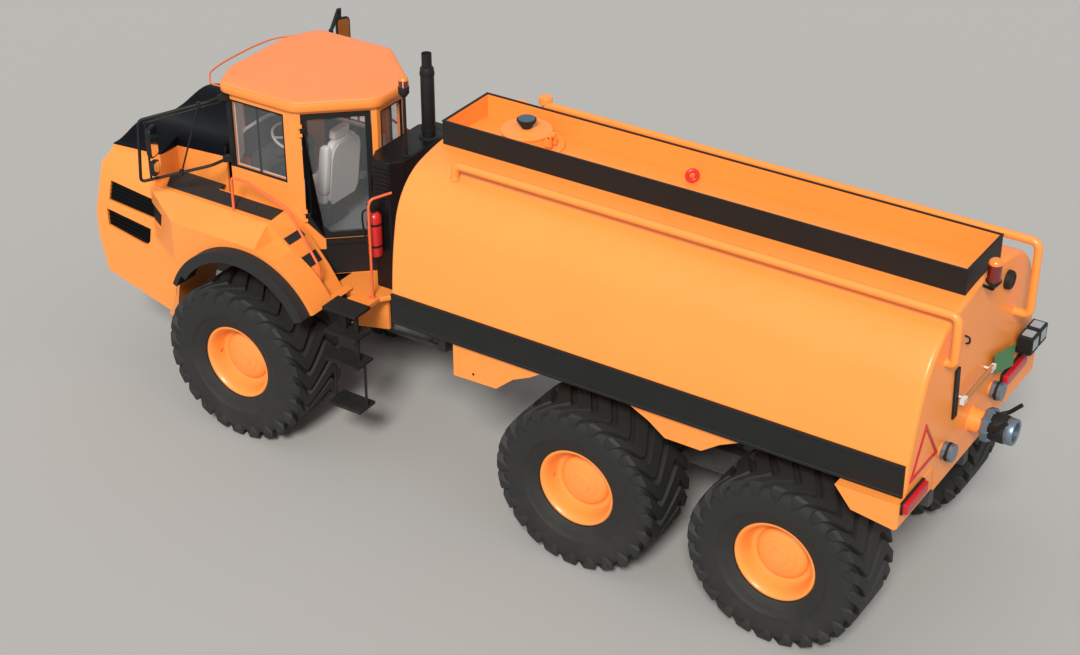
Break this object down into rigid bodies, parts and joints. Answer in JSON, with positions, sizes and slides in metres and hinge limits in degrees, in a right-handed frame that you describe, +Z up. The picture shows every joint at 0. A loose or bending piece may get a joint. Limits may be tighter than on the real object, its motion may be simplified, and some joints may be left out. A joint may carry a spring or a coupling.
{
  "type": "articulated tanker hauler",
  "caption": "Articulated off-road hauler with a central hitch, driven wheels, a forward cab and a solid rear liquid tank with a top coaming and tail couplings.",
  "frame": {"origin": "centre of the bounding box in X and Y, on the ground in Z", "axes": "+X forward along the machine, +Y to the driver's left, +Z up"},
  "size_m": [10.7, 3.4, 4.3095],
  "materials": {
    "orange_paint": "semi-gloss paint, lightly scuffed",
    "black_paint": "satin black paint",
    "grey_paint": "satin dark grey paint",
    "engine_grey": "painted casting",
    "grille_black": "matt black mesh",
    "black_rubber": "matt moulded rubber",
    "tyre_rubber": "matt tyre rubber",
    "tinted_glass": "tinted safety glass",
    "seat_fabric": "light grey woven fabric",
    "console_plastic": "light grey grained plastic",
    "stack_steel": "heat-dulled steel",
    "amber_plastic": "clear amber moulding",
    "lamp_black": "moulded housing",
    "red_paint": "gloss enamel",
    "rod_chrome": "ground chrome",
    "steel_blue": "blue-grey paint"
  },
  "bodies": {
    "rear_unit": {"tank": "orange_paint", "coaming": "orange_paint", "shoulder_rails": "orange_paint", "shoulder_vents": "orange_paint", "side_skirts": "black_paint", "rear_mudguards": "orange_paint", "side_lockers": "orange_paint", "rear_frame": "grey_paint", "bogie_beams": "grey_paint", "rear_axles": "grey_paint", "tail_couplings": "orange_paint", "tail_lamps": "lamp_black"},
    "hitch": {"hitch": "grey_paint"},
    "front_unit": {"front_frame": "grey_paint", "front_axle": "grey_paint", "engine": "engine_grey", "nose": "orange_paint", "grilles": "grille_black", "fenders": "orange_paint", "fender_rubbers": "black_rubber", "cab_shell": "orange_paint", "cab_roof": "orange_paint", "cab_glass": "tinted_glass", "seat": "seat_fabric", "steering_console": "console_plastic", "airbox": "black_paint", "exhaust_stack": "stack_steel", "beacon": "amber_plastic", "rear_deck": "orange_paint", "ladders": "black_paint", "mirror_arms": "black_paint", "mirror_heads": "lamp_black", "handrails": "orange_paint", "extinguisher": "red_paint"},
    "hood": {"hood": "black_paint"},
    "cab_door": {"door_frame": "black_paint", "door_glass": "tinted_glass"},
    "manhole_lid": {"manhole_lid": "steel_blue"},
    "steer_barrel_left": {"steer_barrel_left": "grey_paint"},
    "steer_barrel_right": {"steer_barrel_right": "grey_paint"},
    "steer_rod_left": {"steer_rod_left": "rod_chrome"},
    "steer_rod_right": {"steer_rod_right": "rod_chrome"},
    "wheel_front_left": {"rim_front_left": "orange_paint", "tyre_front_left": "tyre_rubber"},
    "wheel_front_right": {"rim_front_right": "orange_paint", "tyre_front_right": "tyre_rubber"},
    "wheel_middle_left": {"rim_middle_left": "orange_paint", "tyre_middle_left": "tyre_rubber"},
    "wheel_middle_right": {"rim_middle_right": "orange_paint", "tyre_middle_right": "tyre_rubber"},
    "wheel_rear_left": {"rim_rear_left": "orange_paint", "tyre_rear_left": "tyre_rubber"},
    "wheel_rear_right": {"rim_rear_right": "orange_paint", "tyre_rear_right": "tyre_rubber"}
  },
  "joints": [
    {"name": "hitch_roll", "type": "hinge", "parent": "rear_unit", "child": "hitch", "pos_m": [0.9, 0, 1.2], "axis": [-1, 0, 0], "range_deg": [-12, 12]},
    {"name": "steer", "type": "hinge", "parent": "hitch", "child": "front_unit", "pos_m": [1.25, 0, 1.2], "axis": [0, 0, 1], "range_deg": [-45, 45]},
    {"name": "barrel_left_swing", "type": "hinge", "parent": "hitch", "child": "steer_barrel_left", "pos_m": [1.19, 0.33, 1.2], "axis": [0, 0, 1], "range_deg": [-44, 44]},
    {"name": "rod_left_slide", "type": "slide", "parent": "steer_barrel_left", "child": "steer_rod_left", "axis": [0.9956, 0.0933, 0], "range_m": [-0.248, 0.248]},
    {"name": "barrel_right_swing", "type": "hinge", "parent": "hitch", "child": "steer_barrel_right", "pos_m": [1.19, -0.33, 1.2], "axis": [0, 0, 1], "range_deg": [-44, 44]},
    {"name": "rod_right_slide", "type": "slide", "parent": "steer_barrel_right", "child": "steer_rod_right", "axis": [0.9956, -0.0933, 0], "range_m": [-0.248, 0.248]},
    {"name": "wheel_front_left_spin", "type": "hinge", "parent": "front_unit", "child": "wheel_front_left", "pos_m": [3, 1.3, 0.935], "axis": [0, 1, 0], "continuous": true},
    {"name": "wheel_front_right_spin", "type": "hinge", "parent": "front_unit", "child": "wheel_front_right", "pos_m": [3, -1.3, 0.935], "axis": [0, 1, 0], "continuous": true},
    {"name": "wheel_middle_left_spin", "type": "hinge", "parent": "rear_unit", "child": "wheel_middle_left", "pos_m": [-1.44, 1.3, 0.935], "axis": [0, 1, 0], "continuous": true},
    {"name": "wheel_middle_right_spin", "type": "hinge", "parent": "rear_unit", "child": "wheel_middle_right", "pos_m": [-1.44, -1.3, 0.935], "axis": [0, 1, 0], "continuous": true},
    {"name": "wheel_rear_left_spin", "type": "hinge", "parent": "rear_unit", "child": "wheel_rear_left", "pos_m": [-3.69, 1.3, 0.935], "axis": [0, 1, 0], "continuous": true},
    {"name": "wheel_rear_right_spin", "type": "hinge", "parent": "rear_unit", "child": "wheel_rear_right", "pos_m": [-3.69, -1.3, 0.935], "axis": [0, 1, 0], "continuous": true},
    {"name": "cab_door_swing", "type": "hinge", "parent": "front_unit", "child": "cab_door", "pos_m": [2.5443, 0.8031, 2.85], "axis": [0, 0, -1], "range_deg": [0, 70]},
    {"name": "hood_lift", "type": "hinge", "parent": "front_unit", "child": "hood", "pos_m": [5.185, 0, 2.812], "axis": [0, 1, 0], "range_deg": [0, 60]},
    {"name": "manhole_lid_lift", "type": "hinge", "parent": "rear_unit", "child": "manhole_lid", "pos_m": [-0.105, 0, 3.862], "axis": [0, -1, 0], "range_deg": [0, 100]}
  ],
  "couplings": [
    {"joint": "barrel_left_swing", "follows": "steer", "ratio": 0.97},
    {"joint": "rod_left_slide", "follows": "steer", "m_per_rad": -0.314},
    {"joint": "barrel_right_swing", "follows": "steer", "ratio": 0.97},
    {"joint": "rod_right_slide", "follows": "steer", "m_per_rad": 0.314}
  ]
}
